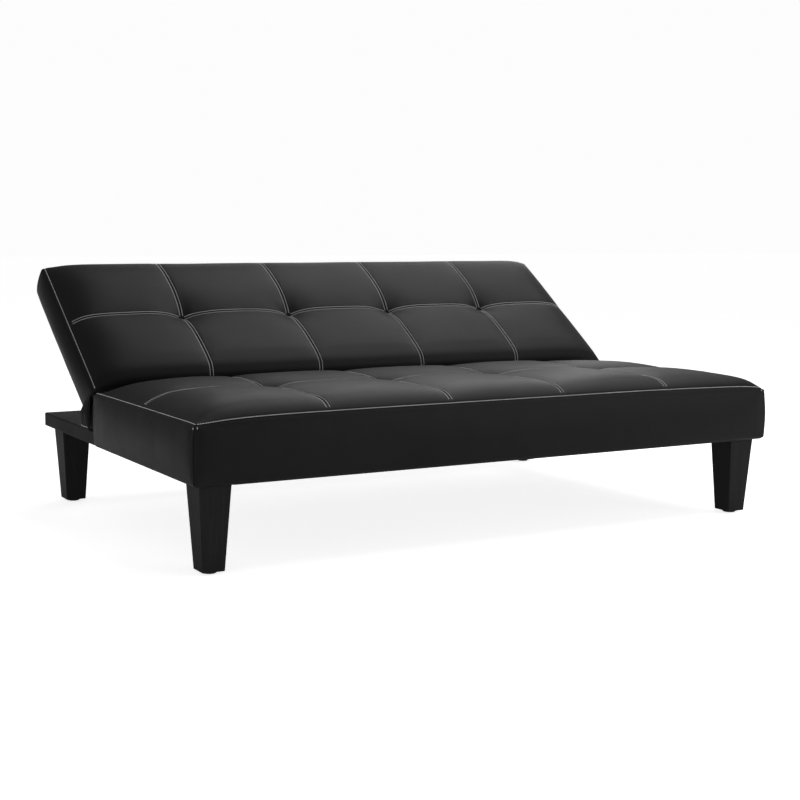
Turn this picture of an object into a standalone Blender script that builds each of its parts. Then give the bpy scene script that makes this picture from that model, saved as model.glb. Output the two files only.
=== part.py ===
"""Click-clack futon sofa bed: an armless three-seat bed with a hinged back.

Metres, +Z up, X along the bed's length, the sitter faces -Y.
The origin is on the floor, under the middle of the whole object in its
lounge position (back held half-way down).
Two bodies: the seat base, which stands on four legs, and the backrest, which
turns about a pin at each end. A spring-loaded pawl at each end holds the back.
"""
import bpy
import bmesh
from math import sin, cos, radians, pi, hypot
from mathutils import Vector, Matrix

# ------------------------------------------------------------------ dimensions
WIDTH = 1.680            # overall length of the bed along X
SEAT_DEPTH = 0.680       # front face to rear face of the seat
SEAT_BOTTOM = 0.2070     # lower edge of the seat's upholstery
SEAT_TOP = 0.3500        # stitched upper edge of the seat cushion
SEAT_CROWN = 0.0430      # the seat's top rises this far above its edge
COVER_T = 0.0015         # leatherette with its backing

BACK_LENGTH = 0.536      # bottom edge to top edge of the backrest
BACK_THICK = 0.0946      # front edge to rear face of the backrest
BACK_CROWN = 0.0430      # the back's front face rises this far above its edge
LOUNGE_ANGLE = radians(35.3)   # back's rise above horizontal as modelled

PIVOT_Y = 0.6900         # hinge axis, measured from the seat's front face
PIVOT_Z = 0.3370         # hinge axis above the floor
PIVOT_U = -0.0100        # hinge axis below the back's bottom edge, along the back
PIVOT_V = -0.0150        # hinge axis behind the back's front face

FRAME_BOTTOM = 0.2087    # underside of every wooden frame member
RAIL_T = 0.0275          # thickness of the seat rails
RAIL_H = 0.0600          # height of the seat rails
DECK_T = 0.0057          # plywood deck on the seat rails
ARM_TOP = 0.2465         # upper face of the rear arms and rear beam
ARM_INNER = 0.7420       # inner side of the rear arms
ARM_END = 1.1260         # rear end of the arms
ARM_FRONT = 0.4000       # where the arms start inside the seat frame

LEG_TOP = 0.0800         # square leg at its top
LEG_FOOT = 0.0555        # square leg at its foot
LEG_X = 0.7860           # leg centre from the middle of the bed
LEG_FRONT_Y = 0.0555     # front leg centre from the seat's front face
LEG_REAR_Y = 1.0400      # rear leg centre from the seat's front face
GLIDE_T = 0.0055
GAP = 0.0003             # clearance between touching pieces
INSET = 0.0055           # the frames stand this far inside the upholstery

PIN_R = 0.0040
EAR_R = 0.0085
TOOTH_ROOT_R = 0.0150
TOOTH_TIP_R = 0.0180
PAWL_PIN_R = 0.0022
PAWL_Y = 0.6880          # pawl pin, from the seat's front face
PAWL_Z = 0.3060

PLATE_X0 = 0.8000        # inner side of the seat bracket's upright
PLATE_T = 0.0030
BACK_PLATE_X0 = 0.8040   # inner side of the back plate, the pawl runs beside it
SLOT_X0 = 0.7983         # slot in the back for the bracket
SLOT_X1 = 0.8087
SLOT_U = 0.0950

# the back, turned to its lounge position, reaches furthest to the rear
C_Y = PIVOT_Y - PIVOT_U * cos(LOUNGE_ANGLE) + PIVOT_V * sin(LOUNGE_ANGLE)
REAR_MOST = C_Y + BACK_LENGTH * cos(LOUNGE_ANGLE) + BACK_THICK * sin(LOUNGE_ANGLE)
Y0 = REAR_MOST / 2.0     # the seat's front face lies this far in front of the origin

HW = WIDTH / 2.0

# -------------------------------------------------------------------- clearing
for old in list(bpy.data.objects):
    bpy.data.objects.remove(old, do_unlink=True)

COLOURS = {
    "leatherette": ((0.012, 0.012, 0.013), 0.42, 0.0),
    "foam": ((0.72, 0.66, 0.50), 0.95, 0.0),
    "pine": ((0.55, 0.38, 0.22), 0.65, 0.0),
    "plywood": ((0.48, 0.34, 0.20), 0.70, 0.0),
    "black_wood": ((0.010, 0.009, 0.009), 0.40, 0.0),
    "cloth": ((0.016, 0.016, 0.017), 0.90, 0.0),
    "steel": ((0.42, 0.42, 0.43), 0.38, 1.0),
    "black_steel": ((0.03, 0.03, 0.03), 0.45, 0.8),
    "plastic": ((0.02, 0.02, 0.02), 0.55, 0.0),
}


def material(node, kind):
    colour, rough, metal = COLOURS[kind]
    m = bpy.data.materials.new(node + "_" + kind)
    m.use_nodes = True
    shader = m.node_tree.nodes["Principled BSDF"]
    shader.inputs["Base Color"].default_value = (*colour, 1.0)
    shader.inputs["Roughness"].default_value = rough
    shader.inputs["Metallic"].default_value = metal
    m.diffuse_color = (*colour, 1.0)
    return m


def make_object(node, bm, kind, parent=None, at=(0, 0, 0), smooth=False):
    bmesh.ops.recalc_face_normals(bm, faces=bm.faces[:])
    mesh = bpy.data.meshes.new(node)
    bm.to_mesh(mesh)
    bm.free()
    obj = bpy.data.objects.new(node, mesh)
    bpy.context.collection.objects.link(obj)
    obj.data.materials.append(material(node, kind))
    obj.location = at
    if parent is not None:
        obj.parent = parent
    if smooth:
        mesh.shade_smooth()
        mesh.set_sharp_from_angle(angle=radians(40))
    return obj


def empty(name, at, turn=0.0):
    e = bpy.data.objects.new(name, None)
    bpy.context.collection.objects.link(e)
    e.location = at
    e.rotation_euler = (turn, 0.0, 0.0)
    return e


def box_bm(x0, x1, y0, y1, z0, z1):
    bm = bmesh.new()
    bmesh.ops.create_cube(bm, size=1.0)
    bmesh.ops.scale(bm, vec=(x1 - x0, y1 - y0, z1 - z0), verts=bm.verts[:])
    bmesh.ops.translate(bm, vec=((x0 + x1) / 2, (y0 + y1) / 2, (z0 + z1) / 2),
                        verts=bm.verts[:])
    return bm


def bevel_edges(bm, radius, segments, keep=lambda e: True):
    edges = [e for e in bm.edges if keep(e)]
    bmesh.ops.bevel(bm, geom=edges, offset=radius, offset_type='OFFSET',
                    segments=segments, profile=0.5, affect='EDGES',
                    clamp_overlap=True)


def prism_bm(points, lo, hi, axis="x"):
    """A closed outline run along an axis. Outline points are (y, z) for x, (x, y) for z."""
    bm = bmesh.new()
    if axis == "x":
        ring = [bm.verts.new((lo, a, b)) for a, b in points]
        step = Vector((hi - lo, 0, 0))
    else:
        ring = [bm.verts.new((a, b, lo)) for a, b in points]
        step = Vector((0, 0, hi - lo))
    face = bm.faces.new(ring)
    out = bmesh.ops.extrude_face_region(bm, geom=[face])
    moved = [g for g in out["geom"] if isinstance(g, bmesh.types.BMVert)]
    bmesh.ops.translate(bm, vec=step, verts=moved)
    return bm


def turned_bm(profile, sides, axis="z", at=(0, 0, 0)):
    """A solid turned about an axis from (distance along the axis, radius) pairs."""
    bm = bmesh.new()
    rings = []
    for h, r in profile:
        ring = []
        for k in range(sides):
            a = 2 * pi * (k + 0.5) / sides
            p, q = r * cos(a), r * sin(a)
            ring.append(bm.verts.new((h, p, q) if axis == "x" else (p, q, h)))
        rings.append(ring)
    for low, high in zip(rings, rings[1:]):
        for k in range(sides):
            n = (k + 1) % sides
            bm.faces.new((low[k], low[n], high[n], high[k]))
    bm.faces.new(rings[0])
    bm.faces.new(list(reversed(rings[-1])))
    bmesh.ops.translate(bm, vec=at, verts=bm.verts[:])
    return bm


def cutter(node, bm, parent=None, at=(0, 0, 0)):
    bmesh.ops.recalc_face_normals(bm, faces=bm.faces[:])
    mesh = bpy.data.meshes.new(node)
    bm.to_mesh(mesh)
    bm.free()
    obj = bpy.data.objects.new(node, mesh)
    bpy.context.collection.objects.link(obj)
    obj.location = at
    if parent is not None:
        obj.parent = parent
    obj.hide_render = True
    obj.display_type = 'WIRE'
    return obj


def boolean(obj, other, operation='DIFFERENCE'):
    mod = obj.modifiers.new(operation.lower(), 'BOOLEAN')
    mod.operation = operation
    mod.object = other
    mod.solver = 'EXACT'


def drill(obj, node, radius, along, at, length, sides=16, parent=None):
    """A round cutter that starts at a point and runs along an axis."""
    boolean(obj, cutter(node, turned_bm([(0, radius), (length, radius)], sides, along, at),
                        parent=parent))


def y(v):
    """Distance behind the seat's front face, in the part's frame."""
    return v - Y0


SIDES = (("left", -1.0), ("right", 1.0))


def span(sign, a, b):
    return (a, b) if sign > 0 else (-b, -a)


# ================================================================== seat base
RAIL_TOP = FRAME_BOTTOM + RAIL_H
RAIL_OUT = HW - INSET
SIDE_IN = RAIL_OUT - RAIL_T


def plain_box(node, kind, x0, x1, y0, y1, z0, z1, edge=0.0, parent=None, segments=1):
    bm = box_bm(x0, x1, y0, y1, z0, z1)
    if edge:
        bevel_edges(bm, edge, segments)
    return make_object(node, bm, kind, parent=parent)


plain_box("seat_front_rail", "pine", -RAIL_OUT, RAIL_OUT, y(INSET), y(0.033),
          FRAME_BOTTOM, RAIL_TOP, 0.0015)
plain_box("seat_rear_rail", "pine", -(ARM_INNER - GAP), ARM_INNER - GAP,
          y(0.640), y(0.670), FRAME_BOTTOM, RAIL_TOP, 0.0015)
plain_box("seat_centre_rail", "pine", -0.015, 0.015, y(0.033 + GAP), y(0.640 - GAP),
          FRAME_BOTTOM, RAIL_TOP, 0.0015)
side_rails = {}
for side, s in SIDES:
    x0, x1 = span(s, SIDE_IN, RAIL_OUT)
    side_rails[side] = plain_box("seat_%s_rail" % side, "pine", x0, x1,
                                 y(0.033 + GAP), y(SEAT_DEPTH - INSET), FRAME_BOTTOM, RAIL_TOP, 0.0015)

# plywood deck over the rails
plain_box("seat_deck", "plywood", -RAIL_OUT, RAIL_OUT, y(INSET), y(SEAT_DEPTH - INSET),
          RAIL_TOP + GAP, RAIL_TOP + GAP + DECK_T)



def ease(t):
    """0 at an edge, 1 from a stated distance in, without a kink there."""
    t = min(max(t, 0.0), 1.0)
    return 1.0 - (1.0 - t) ** 2


def seat_crown(x, yy):
    """Rise of the seat's top over its stitched edge; yy is behind the front face."""
    return (SEAT_CROWN * ease((HW - abs(x)) / 0.18) * ease((SEAT_DEPTH - 0.014 - yy) / 0.15)
            * (0.37 + 0.63 * ease(yy / 0.10)))


def back_crown(x, uu):
    """Rise of the back's front face over its edge; uu is up from the bottom edge."""
    return (BACK_CROWN * ease((HW - abs(x)) / 0.16) * ease((uu - 0.006) / 0.10)
            * (0.28 + 0.72 * ease((BACK_LENGTH - uu) / 0.12)))


STEPS_IN = (0.0, 0.022, 0.050, 0.085, 0.125, 0.180)


def lines(lo, hi, middle):
    """Grid lines from lo to hi, closer together near the two edges."""
    near = [lo + d for d in STEPS_IN]
    far = [hi - d for d in reversed(STEPS_IN)]
    a, b = near[-1], far[0]
    return near + [a + (b - a) * k / (middle + 1) for k in range(1, middle + 1)] + far


def crowned_bm(x0, x1, y0, y1, z0, z1, rise, radius, closed):
    """A box whose top is domed by rise(x, y), with its upper and upright edges rounded."""
    xs, ys = lines(x0, x1, 5), lines(y0, y1, 1)
    bm = bmesh.new()
    top = [[bm.verts.new((a, b, z1 + rise(a, b))) for b in ys] for a in xs]
    for i in range(len(xs) - 1):
        for j in range(len(ys) - 1):
            bm.faces.new((top[i][j], top[i + 1][j], top[i + 1][j + 1], top[i][j + 1]))
    nx, ny = len(xs) - 1, len(ys) - 1
    ring = ([(i, 0) for i in range(nx)] + [(nx, j) for j in range(ny)]
            + [(i, ny) for i in range(nx, 0, -1)] + [(0, j) for j in range(ny, 0, -1)])
    low = [bm.verts.new((top[i][j].co.x, top[i][j].co.y, z0)) for i, j in ring]
    for k, (i, j) in enumerate(ring):
        n = (k + 1) % len(ring)
        i2, j2 = ring[n]
        bm.faces.new((top[i2][j2], top[i][j], low[k], low[n]))
    if closed:
        bm.faces.new(low)
    rim = {top[i][j] for i, j in ring}
    corner_xy = {(x0, y0), (x1, y0), (x0, y1), (x1, y1)}
    sharp = []
    for e in bm.edges:
        a, b = e.verts
        on_rim = a in rim and b in rim and len(e.link_faces) == 2 and any(
            v not in rim for f in e.link_faces for v in f.verts) and not all(
            abs(f.normal.z) > 0.5 for f in e.link_faces)
        upright = (abs(a.co.x - b.co.x) < 1e-7 and abs(a.co.y - b.co.y) < 1e-7 and any(
            abs(a.co.x - cx) < 1e-6 and abs(a.co.y - cy) < 1e-6 for cx, cy in corner_xy))
        sharp.append((e, on_rim or upright))
    bm.normal_update()
    edges = []
    for e, _ in sharp:
        if len(e.link_faces) == 2 and e.calc_face_angle() > radians(35):
            if not (closed and all(v.co.z < z0 + 1e-6 for v in e.verts)):
                edges.append(e)
    bmesh.ops.bevel(bm, geom=edges, offset=radius, offset_type='OFFSET', segments=3,
                    profile=0.5, affect='EDGES', clamp_overlap=True)
    return bm


# foam block, softly rounded and domed, inside the cover
FOAM_Z0 = RAIL_TOP + 2 * GAP + DECK_T
FOAM_IN = COVER_T + GAP
make_object("seat_foam",
            crowned_bm(-(HW - FOAM_IN), HW - FOAM_IN, y(FOAM_IN), y(SEAT_DEPTH - FOAM_IN),
                       FOAM_Z0, SEAT_TOP - 0.0026, lambda a, b: seat_crown(a, b + Y0),
                       0.0112, True),
            "foam", smooth=True)


def shell(node, x0, x1, y0, y1, z0, z1, rise, radius, kind, parent=None):
    """A domed box skin of even thickness, open on its low-Z side."""
    bm = crowned_bm(x0, x1, y0, y1, z0, z1, rise, radius, False)
    obj = make_object(node, bm, kind, parent=parent, smooth=True)
    mod = obj.modifiers.new("skin", 'SOLIDIFY')
    mod.thickness = COVER_T
    mod.offset = -1.0
    mod.use_even_offset = True
    mod.use_rim = True
    return obj


seat_cover = shell("seat_cover", -HW, HW, y(0.0), y(SEAT_DEPTH), SEAT_BOTTOM, SEAT_TOP,
                   lambda a, b: seat_crown(a, b + Y0), 0.0130, "leatherette")

# the rear arms leave the seat through a notch at each end of its rear face
for side, s in SIDES:
    x0, x1 = span(s, ARM_INNER - 0.0010, SIDE_IN + 0.0008)
    boolean(seat_cover, cutter("seat_cover_notch_" + side,
                               box_bm(x0, x1, y(0.66), y(0.70), 0.19, ARM_TOP + 0.0010)))

# thin cloth closing the underside, cut back round the front legs
CL = 0.0982
IN = LEG_X - LEG_TOP / 2 - 0.0015
EDGE = HW - INSET
dust = [(-IN, y(INSET)), (IN, y(INSET)), (IN, y(CL)), (EDGE, y(CL)),
        (EDGE, y(SEAT_DEPTH - INSET)), (-EDGE, y(SEAT_DEPTH - INSET)),
        (-EDGE, y(CL)), (-IN, y(CL))]
make_object("seat_dust_cover", prism_bm(dust, 0.2072, 0.2082, "z"), "cloth")

# front corner blocks and the L-shaped rear arms take the legs' bolts
LEG_TOP_Z = FRAME_BOTTOM - GAP
FOOT_Z = GLIDE_T + GAP


def leg_bm():
    bm = bmesh.new()
    rings = []
    for z, half in ((FOOT_Z, LEG_FOOT / 2), (LEG_TOP_Z, LEG_TOP / 2)):
        rings.append([bm.verts.new((sx * half, sy * half, z))
                      for sx, sy in ((-1, -1), (1, -1), (1, 1), (-1, 1))])
    for k in range(4):
        n = (k + 1) % 4
        bm.faces.new((rings[0][k], rings[0][n], rings[1][n], rings[1][k]))
    bm.faces.new(rings[0])
    bm.faces.new(list(reversed(rings[1])))
    bevel_edges(bm, 0.0022, 2)
    return bm


frame_pieces = {}
for side, s in SIDES:
    x0, x1 = span(s, ARM_INNER + 0.002, SIDE_IN - GAP)
    frame_pieces[("front", side)] = plain_box(
        "corner_block_" + side, "pine", x0, x1, y(0.033 + GAP), y(0.1050),
        FRAME_BOTTOM, FRAME_BOTTOM + 0.040, 0.0015)
    outline = [(ARM_INNER, ARM_FRONT), (SIDE_IN - GAP, ARM_FRONT),
               (SIDE_IN - GAP, 0.6840), (HW, 0.6840), (HW, ARM_END), (ARM_INNER, ARM_END)]
    pts = [(s * a, y(b)) for a, b in outline]
    arm_bm = prism_bm(pts, FRAME_BOTTOM, ARM_TOP, "z")
    bevel_edges(arm_bm, 0.0030, 2,
                lambda e: all(v.co.y > y(0.70) for v in e.verts) or
                all(abs(v.co.x) > HW - 1e-4 for v in e.verts))
    frame_pieces[("rear", side)] = make_object("rear_arm_" + side, arm_bm, "cloth")

for row, leg_y, bolt_top in (("front", LEG_FRONT_Y, 0.2400), ("rear", LEG_REAR_Y, 0.2370)):
    for side, s in SIDES:
        cx, cy = s * LEG_X, y(leg_y)
        tag = "%s_%s" % (row, side)
        leg = make_object("leg_" + tag, leg_bm(), "black_wood", at=(cx, cy, 0))
        drill(leg, "leg_bore_" + tag, 0.0046, "z", (cx, cy, 0.166), 0.05)
        holder = frame_pieces[(row, side)]
        depth = 0.060 if row == "front" else bolt_top + 0.0006 - 0.20
        drill(holder, "holder_bore_" + tag, 0.0046, "z", (cx, cy, 0.20), depth)
        make_object("leg_bolt_" + tag,
                    turned_bm([(0.1675, 0.0028), (0.1695, 0.0041), (bolt_top - 0.002, 0.0041),
                               (bolt_top, 0.0028)], 16, "z", (0, 0, 0)),
                    "steel", at=(cx, cy, 0), smooth=True)
        make_object("glide_" + tag,
                    turned_bm([(0.0, 0.0150), (0.0015, 0.0175), (GLIDE_T, 0.0180)], 24),
                    "plastic", at=(cx, cy, 0), smooth=True)

# rear beam between the arms
beam_bm = box_bm(-(ARM_INNER - GAP), ARM_INNER - GAP, y(ARM_END - 0.060), y(ARM_END),
                 FRAME_BOTTOM, ARM_TOP)
bevel_edges(beam_bm, 0.0030, 2, lambda e: abs(e.verts[0].co.x - e.verts[1].co.x) > 0.1)
make_object("rear_cross_beam", beam_bm, "cloth")

# one coach bolt at each end holds the arm to the side rail
for side, s in SIDES:
    by, bz = y(0.5200), (FRAME_BOTTOM + ARM_TOP) / 2
    head = [(ARM_INNER - 0.0065, 0.0055), (ARM_INNER - 0.0050, 0.0080), (ARM_INNER - GAP, 0.0080),
            (ARM_INNER - GAP + 0.00001, 0.0030), (0.8280, 0.0030), (0.8290, 0.0020)]
    make_object("arm_bolt_" + side,
                turned_bm([(s * h, r) for h, r in head], 16, "x", (0, by, bz)),
                "steel", smooth=True)
    x0, x1 = span(s, ARM_INNER - 0.01, SIDE_IN + 0.01)
    drill(frame_pieces[("rear", side)], "arm_bolt_bore_" + side, 0.0035, "x",
          (x0, by, bz), x1 - x0)
    x0, x1 = span(s, SIDE_IN - 0.01, 0.8300)
    drill(side_rails[side], "rail_bolt_bore_" + side, 0.0035, "x", (x0, by, bz), x1 - x0)

# --------------------------------------------------------- click-clack hinges
PAWL_ANGLE = radians(-40.0)          # where the pawl meets the ratchet, seen from the pivot
TIP = Vector((PIVOT_Y + 0.0185 * cos(PAWL_ANGLE), PIVOT_Z + 0.0185 * sin(PAWL_ANGLE)))
ALONG = (TIP - Vector((PAWL_Y, PAWL_Z))).normalized()
OUTWARD = Vector((ALONG.y, -ALONG.x))            # away from the ratchet


def pawl_point(a, b):
    """A point from the pawl's pin: a along the pawl, b away from the ratchet."""
    return Vector((PAWL_Y, PAWL_Z)) + ALONG * a + OUTWARD * b


for side, s in SIDES:
    # seat bracket: foot on the arm, upright with the pivot ear, tab for the spring
    web = [(0.6840, ARM_TOP + GAP), (0.7900, ARM_TOP + GAP), (0.7900, 0.2540), (0.7450, 0.2700),
           (0.7220, 0.2900), (0.7210, 0.3080), (0.7120, 0.3190), (PIVOT_Y + EAR_R, 0.3240)]
    for k in range(0, 13):
        a = pi * k / 12
        web.append((PIVOT_Y + EAR_R * cos(a), PIVOT_Z + EAR_R * sin(a)))
    web.append((0.6840, 0.3240))
    x0, x1 = span(s, PLATE_X0, PLATE_X0 + PLATE_T)
    bracket = make_object("hinge_seat_bracket_" + side,
                          prism_bm([(y(a), b) for a, b in web], x0, x1), "black_steel")
    x0, x1 = span(s, PLATE_X0 - 0.035, PLATE_X0 + 0.001)
    boolean(bracket, cutter("bracket_foot_" + side,
                            box_bm(x0, x1, y(0.7000), y(0.7895), ARM_TOP + GAP,
                                   ARM_TOP + GAP + PLATE_T)), 'UNION')
    corners = [pawl_point(a, b) for a, b in ((0.012, 0.0153), (0.020, 0.0153),
                                             (0.020, 0.0173), (0.012, 0.0173))]
    x0, x1 = span(s, PLATE_X0 + 0.001, 0.8070)
    boolean(bracket, cutter("bracket_tab_" + side,
                            prism_bm([(y(c.x), c.y) for c in corners], x0, x1)), 'UNION')
    x0, x1 = span(s, 0.79, 0.81)
    drill(bracket, "bracket_pivot_hole_" + side, PIN_R + GAP, "x",
          (x0, y(PIVOT_Y), PIVOT_Z), 0.02, 24)
    drill(bracket, "bracket_pawl_hole_" + side, PAWL_PIN_R + GAP, "x",
          (x0, y(PAWL_Y), PAWL_Z), 0.02, 16)
    for k, sy in enumerate((0.7200, 0.7650)):
        sx = s * 0.7815
        drill(bracket, "bracket_screw_hole_%s_%d" % (side, k), 0.0026, "z",
              (sx, y(sy), 0.24), 0.02, 12)
        drill(frame_pieces[("rear", side)], "arm_screw_hole_%s_%d" % (side, k), 0.0026, "z",
              (sx, y(sy), 0.2210), 0.04, 12)
        z0 = ARM_TOP + GAP + PLATE_T + GAP
        make_object("bracket_screw_%s_%d" % (side, k + 1),
                    turned_bm([(0.2230, 0.0008), (0.2260, 0.0022), (z0 - 0.00001, 0.0022), (z0, 0.0050),
                               (z0 + 0.0012, 0.0046), (z0 + 0.0024, 0.0026)], 16),
                    "steel", at=(sx, y(sy), 0), smooth=True)

    # hinge pin: a headed pin with a riveted tail
    pin = [(0.7966, 0.0052), (0.7972, 0.0062), (0.7996, 0.0062), (0.7996 + 0.00001, PIN_R),
           (0.8078, PIN_R), (0.8084, PIN_R - 0.0008)]
    make_object("hinge_pin_" + side, turned_bm([(s * h, r) for h, r in pin], 24, "x"),
                "steel", at=(0, y(PIVOT_Y), PIVOT_Z), smooth=True)
    pin = [(0.7978, 0.0030), (0.7982, 0.0036), (0.7996, 0.0036), (0.7996 + 0.00001, PAWL_PIN_R),
           (0.8078, PAWL_PIN_R), (0.8082, PAWL_PIN_R - 0.0005)]
    make_object("pawl_pin_" + side, turned_bm([(s * h, r) for h, r in pin], 16, "x"),
                "steel", at=(0, y(PAWL_Y), PAWL_Z), smooth=True)

    # pawl: round boss on its pin, blade tangent to the ratchet, origin on its axis
    blade = [(0.0250, -0.0001), (0.0252, 0.0050), (0.0225, 0.0066), (0.0040, 0.0060)]
    for k in range(0, 9):
        a = radians(52.0 + k * 27.0)
        blade.append((0.0046 * cos(a) if k else 0.0020, 0.0046 * sin(a)))
    blade += [(0.0050, -0.0024), (0.0130, 0.0012), (0.0225, 0.0008)]
    local = [pawl_point(a, b) - Vector((PAWL_Y, PAWL_Z)) for a, b in blade]
    x0, x1 = span(s, BACK_PLATE_X0, BACK_PLATE_X0 + PLATE_T)
    pawl = make_object("pawl_" + side, prism_bm([(p.x, p.y) for p in local], x0, x1),
                       "black_steel", at=(0, y(PAWL_Y), PAWL_Z))
    x0, x1 = span(s, 0.79, 0.81)
    drill(pawl, "pawl_hole_" + side, PAWL_PIN_R + GAP, "x", (x0, y(PAWL_Y), PAWL_Z), 0.02, 16)

    # pawl spring: a small open coil between the pawl's back and the bracket's tab
    turns, per_turn, sides, wire, coil = 5, 10, 5, 0.00035, 0.0017
    low, high = 0.0070 + wire, 0.0150 - wire
    centre_x = s * (BACK_PLATE_X0 + PLATE_T / 2)
    rings = []
    bm = bmesh.new()
    steps = turns * per_turn
    for k in range(steps + 1):
        t = k / steps
        a = 2 * pi * turns * t
        rise = low + (high - low) * t
        c2 = pawl_point(0.0160, rise)
        radial = Vector((cos(a), ALONG.x * sin(a), ALONG.y * sin(a)))
        centre = Vector((centre_x, y(c2.x), c2.y)) + radial * coil
        up = Vector((0.0, OUTWARD.x, OUTWARD.y))
        ring = []
        for j in range(sides):
            b = 2 * pi * j / sides
            ring.append(bm.verts.new(centre + radial * (wire * cos(b)) + up * (wire * sin(b))))
        rings.append(ring)
    for one, two in zip(rings, rings[1:]):
        for j in range(sides):
            n = (j + 1) % sides
            bm.faces.new((one[j], one[n], two[n], two[j]))
    bm.faces.new(rings[0])
    bm.faces.new(list(reversed(rings[-1])))
    make_object("pawl_spring_" + side, bm, "steel", smooth=True)

    # soft boot over the outer side of each hinge
    boot = [(0.7010, ARM_TOP + 0.0005), (0.8060, ARM_TOP + 0.0005), (0.8060, 0.2740),
            (0.7440, 0.2740), (0.7010, 0.3320)]
    x0, x1 = span(s, 0.8120, 0.8380)
    boot_bm = prism_bm([(y(a), b) for a, b in boot], x0, x1)
    make_object("hinge_boot_" + side, boot_bm, "cloth")

# =================================================================== backrest
# Built flat about the hinge axis and turned up by its parent empty.
pivot = empty("backrest_pivot", (0, y(PIVOT_Y), PIVOT_Z), LOUNGE_ANGLE)


def u(v):
    """Distance along the back from its bottom edge."""
    return v - PIVOT_U


def w(v):
    """Height of the back's faces; its front face is at 0 and its rear face below."""
    return v - PIVOT_V


def back_box(node, kind, x0, x1, u0, u1, v0, v1, edge=0.0):
    return plain_box(node, kind, x0, x1, u(u0), u(u1), w(v0), w(v1), edge, parent=pivot)


B_RAIL_V0, B_RAIL_V1 = -0.0925, -0.0550
B_SIDE_IN = 0.8073
back_box("back_top_rail", "pine", -(B_SIDE_IN - GAP), B_SIDE_IN - GAP,
         BACK_LENGTH - 0.0330, BACK_LENGTH - INSET, B_RAIL_V0, B_RAIL_V1, 0.0015)
back_box("back_bottom_rail", "pine", -0.7980, 0.7980, INSET, 0.0330,
         B_RAIL_V0, B_RAIL_V1, 0.0015)
back_box("back_centre_rail", "pine", -0.0150, 0.0150, 0.0330 + GAP,
         BACK_LENGTH - 0.0330 - GAP, B_RAIL_V0, B_RAIL_V1, 0.0015)
back_sides = {}
for side, s in SIDES:
    x0, x1 = span(s, B_SIDE_IN, HW - INSET)
    back_sides[side] = back_box("back_%s_rail" % side, "pine", x0, x1, INSET,
                                BACK_LENGTH - INSET, B_RAIL_V0, B_RAIL_V1, 0.0015)


def slots(obj, name, u1, v0, v1):
    for side, s in SIDES:
        x0, x1 = span(s, SLOT_X0, SLOT_X1)
        boolean(obj, cutter("%s_slot_%s" % (name, side),
                            box_bm(x0, x1, u(-0.02), u(u1), w(v0), w(v1)), parent=pivot))


panel = back_box("back_panel", "plywood", -(HW - INSET), HW - INSET, INSET,
                 BACK_LENGTH - INSET, B_RAIL_V1 + GAP, -0.0505)
slots(panel, "panel", SLOT_U, -0.07, -0.03)

back_foam = make_object(
    "back_foam",
    crowned_bm(-(HW - FOAM_IN), HW - FOAM_IN, u(FOAM_IN), u(BACK_LENGTH - FOAM_IN),
               w(-0.0505 + GAP), w(-0.0026), lambda a, b: back_crown(a, b + PIVOT_U),
               0.0102, True),
    "foam", parent=pivot, smooth=True)
slots(back_foam, "foam", SLOT_U, -0.07, -0.0048)

back_cover = shell("back_cover", -HW, HW, u(0.0), u(BACK_LENGTH), w(-BACK_THICK), w(0.0),
                   lambda a, b: back_crown(a, b + PIVOT_U), 0.0120, "leatherette",
                   parent=pivot)
slots(back_cover, "cover", 0.0140, -0.12, -0.0048)

cloth = [(-(HW - INSET), u(INSET))]
for x0, x1 in ((-SLOT_X1, -SLOT_X0), (SLOT_X0, SLOT_X1)):
    cloth += [(x0, u(INSET)), (x0, u(SLOT_U)), (x1, u(SLOT_U)), (x1, u(INSET))]
cloth += [(HW - INSET, u(INSET)), (HW - INSET, u(BACK_LENGTH - INSET)),
          (-(HW - INSET), u(BACK_LENGTH - INSET))]
make_object("back_rear_cloth", prism_bm(cloth, w(-0.0943), w(-0.0933), "z"), "cloth",
            parent=pivot)

for side, s in SIDES:
    # back plate: ear on the pin, ratchet sector, arm to the side rail
    outline = []
    for k in range(0, 11):
        a = radians(90.0 + 15.0 * k)
        outline.append((EAR_R * cos(a), EAR_R * sin(a)))
    step = 12.0
    for k in range(6):
        a = radians(-120.0 + step * k)
        b = radians(-120.0 + step * (k + 0.72))
        outline.append((TOOTH_TIP_R * cos(a), TOOTH_TIP_R * sin(a)))
        outline.append((TOOTH_ROOT_R * cos(b), TOOTH_ROOT_R * sin(b)))
    outline += [(0.0125, -0.0082), (0.0260, -0.0078), (0.0460, -0.0210), (0.0800, -0.0740),
                (0.1900, -0.0740), (0.1900, -0.0430), (0.0840, -0.0430), (0.0450, EAR_R)]
    x0, x1 = span(s, BACK_PLATE_X0, BACK_PLATE_X0 + PLATE_T)
    plate = make_object("hinge_back_plate_" + side, prism_bm(outline, x0, x1),
                        "black_steel", parent=pivot)
    x0, x1 = span(s, 0.79, 0.82)
    drill(plate, "plate_pivot_hole_" + side, PIN_R + GAP, "x", (x0, 0, 0), 0.03, 24,
          parent=pivot)
    at = (0.1350, -0.0585)
    drill(plate, "plate_screw_hole_" + side, 0.0026, "x", (x0, at[0], at[1]), 0.03, 12,
          parent=pivot)
    x0, x1 = span(s, 0.80, 0.8270)
    drill(back_sides[side], "rail_screw_hole_" + side, 0.0026, "x", (x0, at[0], at[1]),
          x1 - x0, 12, parent=pivot)
    screw = [(0.8012, 0.0026), (0.8024, 0.0046), (0.8036, 0.0050), (0.8036 + 0.00001, 0.0022),
             (0.8220, 0.0022), (0.8250, 0.0008)]
    make_object("plate_screw_" + side,
                turned_bm([(s * h, r) for h, r in screw], 16, "x", (0, at[0], at[1])),
                "steel", parent=pivot, smooth=True)
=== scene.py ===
from math import ceil, cos, pi, radians, sin

import bmesh
import bpy
import numpy as np
from mathutils import Matrix, Vector
from mathutils.bvhtree import BVHTree


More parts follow.
